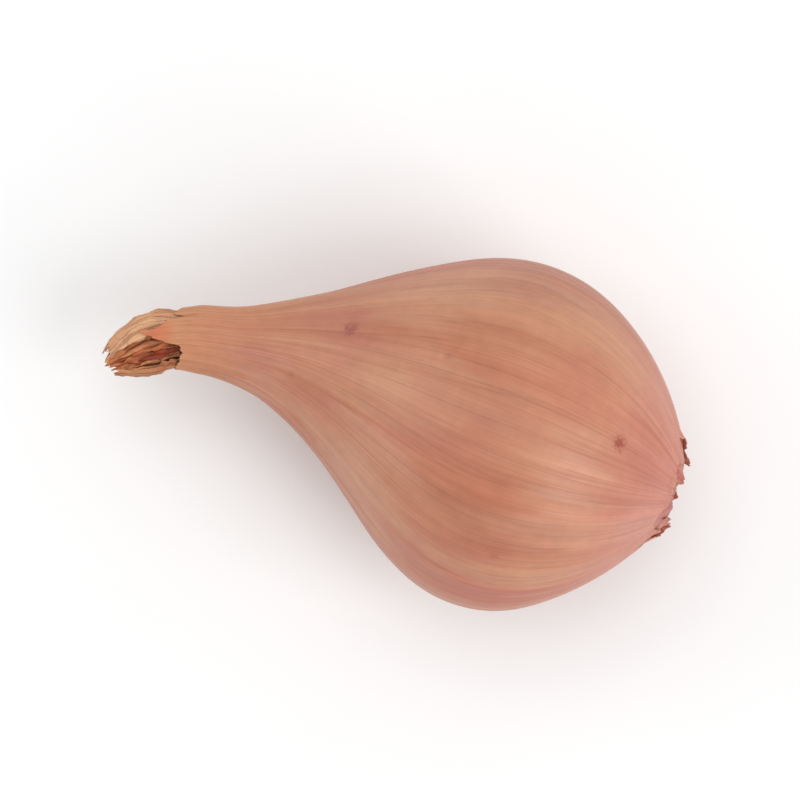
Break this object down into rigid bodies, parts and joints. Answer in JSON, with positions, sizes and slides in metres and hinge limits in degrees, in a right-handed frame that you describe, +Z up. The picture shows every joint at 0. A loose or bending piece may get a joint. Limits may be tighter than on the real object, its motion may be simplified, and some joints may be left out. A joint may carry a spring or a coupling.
{
  "type": "shallot",
  "caption": "Whole shallot in its dry skin, lying on its side, with a bent dried neck at one end and a corky root plate at the other.",
  "frame": {"origin": "on the surface that the shallot rests on, under the middle of its box", "axes": "+X runs along the shallot from its dried neck to its root end, +Z is up, and the dried neck bends towards -Y"},
  "size_m": [0.0844, 0.0488, 0.0429],
  "materials": {
    "skin": "satin",
    "dry_sheath": "matte",
    "dry_leaf": "matte",
    "root_cork": "matte"
  },
  "bodies": {
    "root": {"bulb": "skin", "neck_sheath": "dry_sheath", "neck_leaf_outer": "dry_leaf", "neck_leaf_middle": "dry_leaf", "neck_leaf_inner": "dry_leaf", "root_plate": "root_cork"}
  },
  "joints": []
}
